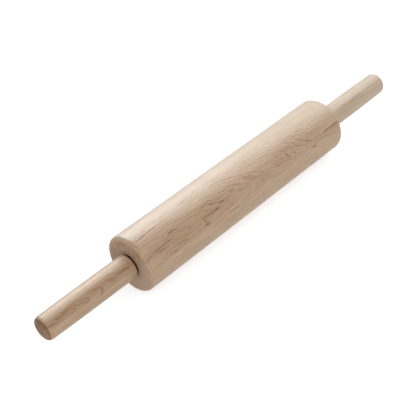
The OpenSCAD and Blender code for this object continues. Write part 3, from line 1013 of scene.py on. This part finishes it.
# %% Finish the small pieces
WASHER_GLOSS = 0.05
FINISHES = {
    # Painted shade: the washer's warm near-black stands for the shadow in the gap by each handle.
    "washer_nylon": worked("washer_black_nylon", (0.030, 0.0115, 0.004, 1),
                           (0.044, 0.020, 0.009, 1), 0.80, 0.0, "moulded"),
    "rod_steel": worked("drawn_steel", (0.60, 0.60, 0.61, 1), (0.47, 0.47, 0.48, 1),
                        0.30, 1.0, "drawn"),
    "bush_steel": worked("turned_steel", (0.58, 0.58, 0.59, 1), (0.44, 0.44, 0.45, 1),
                         0.34, 1.0, "turned"),
    "ring_steel": worked("oiled_black_steel", (0.10, 0.095, 0.09, 1), (0.17, 0.16, 0.15, 1),
                         0.40, 1.0, "drawn"),
    "race_steel": worked("ground_steel", (0.66, 0.66, 0.67, 1), (0.54, 0.54, 0.56, 1),
                         0.18, 1.0, "turned", depth=0.05),
    "ball_steel": worked("polished_steel", (0.77, 0.77, 0.78, 1), (0.68, 0.68, 0.70, 1),
                         0.07, 1.0, "moulded", depth=0.0),
    "shield_steel": worked("pressed_steel", (0.56, 0.56, 0.57, 1), (0.46, 0.46, 0.47, 1),
                           0.36, 1.0, "moulded", depth=0.08),
    "cage_nylon": worked("natural_nylon", (0.74, 0.70, 0.60, 1), (0.66, 0.60, 0.49, 1),
                         0.45, 0.0, "moulded"),
    "insert_brass": worked("turned_brass", (0.70, 0.50, 0.22, 1), (0.52, 0.34, 0.13, 1),
                           0.30, 1.0, "turned")}
washer_shader = FINISHES["washer_nylon"].node_tree.nodes["Principled BSDF"]
washer_shader.inputs["Specular IOR Level"].default_value = WASHER_GLOSS
slot_of = {row["node"]: row["material_slot"] for row in frame["record"]["subparts"]}
for node_name, cad_object in frame["nodes"].items():
    finish = FINISHES.get(slot_of[node_name])
    if finish:
        for material_slot in cad_object.material_slots:
            material_slot.material = finish
print("finishes:", sorted(FINISHES))

# %% [markdown]
# Between the handle and the barrel sits a black nylon washer that keeps flour out of the bearing.
# All that shows of it is a dark line round the root of the handle, and its warm near-black colour
# is painted shade: it stands for the shadow in that gap. It could stay a plain ring, but the mould
# rounds its edges, and a rounded edge gives that line its soft border.

# %% Turn the washers
WASHER_EDGE = 0.35 * MM
WASHER_CLEARANCE = 0.08 * MM
WASHER_FACE = 1.0 * MM
WASHER_ROWS = 5
washer_low, washer_high = span_x("right_dust_washer")
washer_rim = radius_of("right_dust_washer")
washer_bore = radius_of("right_spacer_bush") + WASHER_CLEARANCE


def washer_outline():
    edge_start = washer_rim - WASHER_EDGE
    loop = [(washer_high, washer_bore), (washer_low, washer_bore)]
    loop += [(washer_low, edge_start - WASHER_FACE)]
    loop += reversed(arc((washer_low + WASHER_EDGE, edge_start), WASHER_EDGE, 90, 180, WASHER_ROWS))
    loop += reversed(arc((washer_high - WASHER_EDGE, edge_start), WASHER_EDGE, 0, 90, WASHER_ROWS))
    return loop + [loop[0]]


for side, sign in SIDES.items():
    turned(side + "_moulded_washer", on_side(sign, washer_outline()), FINISHES["washer_nylon"],
           "handles", side + "_dust_washer", steps=WASHER_STEPS)

# %% [markdown]
# The rod and the inserts have real screw threads here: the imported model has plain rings, which is
# enough for a collision test, but a thread climbs. Both come off the same lathe with the same
# pitch, so the rod's ridges lie in the insert's grooves.

# %% Cut the rod and the inserts
THREAD_DEPTH = 0.7 * MM
THREAD_RADIUS = 3.95 * MM
THREAD_GAP = 0.08 * MM
THREAD_CHAMFER = 1.5
ROWS_PER_TURN = 10
ROD_DIAMETER = 9.525 * MM
SHOULDER_GAP = 0.4 * MM
GROOVE_DEPTH = 0.3 * MM
GROOVE_LOW = 0.655 * MM
GROOVE_HIGH = 0.02 * MM
rod_radius = ROD_DIAMETER / 2
rod_end = span_x("axle_rod")[1]
rod_shoulder = handle_root - SHOULDER_GAP
groove_radius = rod_radius - GROOVE_DEPTH
groove_low = seat_floor - GROOVE_LOW
groove_high = seat_floor + GROOVE_HIGH
thread_start = handle_root + INSERT_FLANGE
thread_root = THREAD_RADIUS - THREAD_DEPTH


def thread(start, end, radius):
    """Rows of a thread that runs in over one turn and runs out over one turn."""
    rows = round((end - start) / PITCH * ROWS_PER_TURN)
    points = []
    for x in np.linspace(start, end, rows + 1):
        grown = min(1.0, (x - start) / PITCH, (end - x) / PITCH)
        points.append((x, radius, THREAD_DEPTH * grown))
    return points


def rod_outline():
    half_rod = [(0.0, rod_radius), (groove_low, rod_radius), (groove_low, groove_radius),
                (groove_high, groove_radius), (groove_high, rod_radius), (rod_shoulder, rod_radius),
                (rod_shoulder, thread_root), (thread_start, thread_root)]
    half_rod += thread(thread_start, rod_end - THREAD_DEPTH, THREAD_RADIUS)
    half_rod += [(rod_end, THREAD_RADIUS - THREAD_DEPTH * THREAD_CHAMFER), (rod_end, 0.0)]
    return on_side(-1, reversed(half_rod[1:])) + half_rod


def insert_outline():
    bore = THREAD_RADIUS + THREAD_GAP
    inside = [(handle_root, bore)] + thread(thread_start, insert_end - THREAD_DEPTH, bore)
    inside += [(insert_end, bore)]
    return inside + list(reversed(insert_side())) + [inside[0]]


turned("threaded_rod", rod_outline(), FINISHES["rod_steel"], "handles", "axle_rod",
       steps=THREAD_STEPS)
for side, sign in SIDES.items():
    turned(side + "_cut_insert", on_side(sign, insert_outline()), FINISHES["insert_brass"],
           "handles", side + "_threaded_insert", steps=THREAD_STEPS)

# %% [markdown]
# Seven balls run in each bearing, evenly spaced by their cage. One ball is made and a Geometry
# Nodes tree puts a copy at every place, so the count and the size are two numbers.

# %% Set out the bearing balls
BALL_COUNT = 7
BALL_DIAMETER = 3.969 * MM
BALL_PITCH_RADIUS = 7.9375 * MM
BALL_DETAIL = 5


def ball_nodes():
    tree, given = start_tree("ring_of_balls", {
        "Start": "Geometry", "Count": "Int", "Pitch Radius": "Float", "Ball Radius": "Float",
        "Station": "Float", "Axis Height": "Float", "Turn": "Float", "Finish": "Material"})
    count = given["Count"]
    circle = count.node("GeometryNodeMeshCircle", {}, {"Vertices": count,
                                                       "Radius": given["Pitch Radius"]})
    ball = count.node("GeometryNodeMeshIcoSphere", {}, {"Subdivisions": BALL_DETAIL,
                                                        "Radius": given["Ball Radius"]})
    smooth = count.node("GeometryNodeSetShadeSmooth", {}, {"Geometry": ball})
    copies = count.node("GeometryNodeInstanceOnPoints", {}, {"Points": circle, "Instance": smooth})
    middle = count.node("ShaderNodeCombineXYZ", {}, {"X": given["Station"],
                                                     "Z": given["Axis Height"]})
    tipped = count.node("ShaderNodeCombineXYZ", {}, {"Y": given["Turn"]})
    upright = count.node("GeometryNodeTransform", {}, {"Geometry": copies, "Translation": middle,
                                                       "Rotation": tipped})
    return end_tree(tree, upright, given["Finish"])


BALLS = ball_nodes()
ball_station = sum(span_x("right_bearing_balls")) / 2
for side, sign in SIDES.items():
    name = side + "_ring_of_balls"
    values = {"Count": BALL_COUNT, "Pitch Radius": BALL_PITCH_RADIUS,
              "Ball Radius": BALL_DIAMETER / 2, "Station": sign * ball_station,
              "Axis Height": axis_height, "Turn": sign * math.pi / 2,
              "Finish": FINISHES["ball_steel"]}
    run_nodes(name, bpy.data.meshes.new(name), BALLS, values, side + "_cage",
              side + "_bearing_balls")
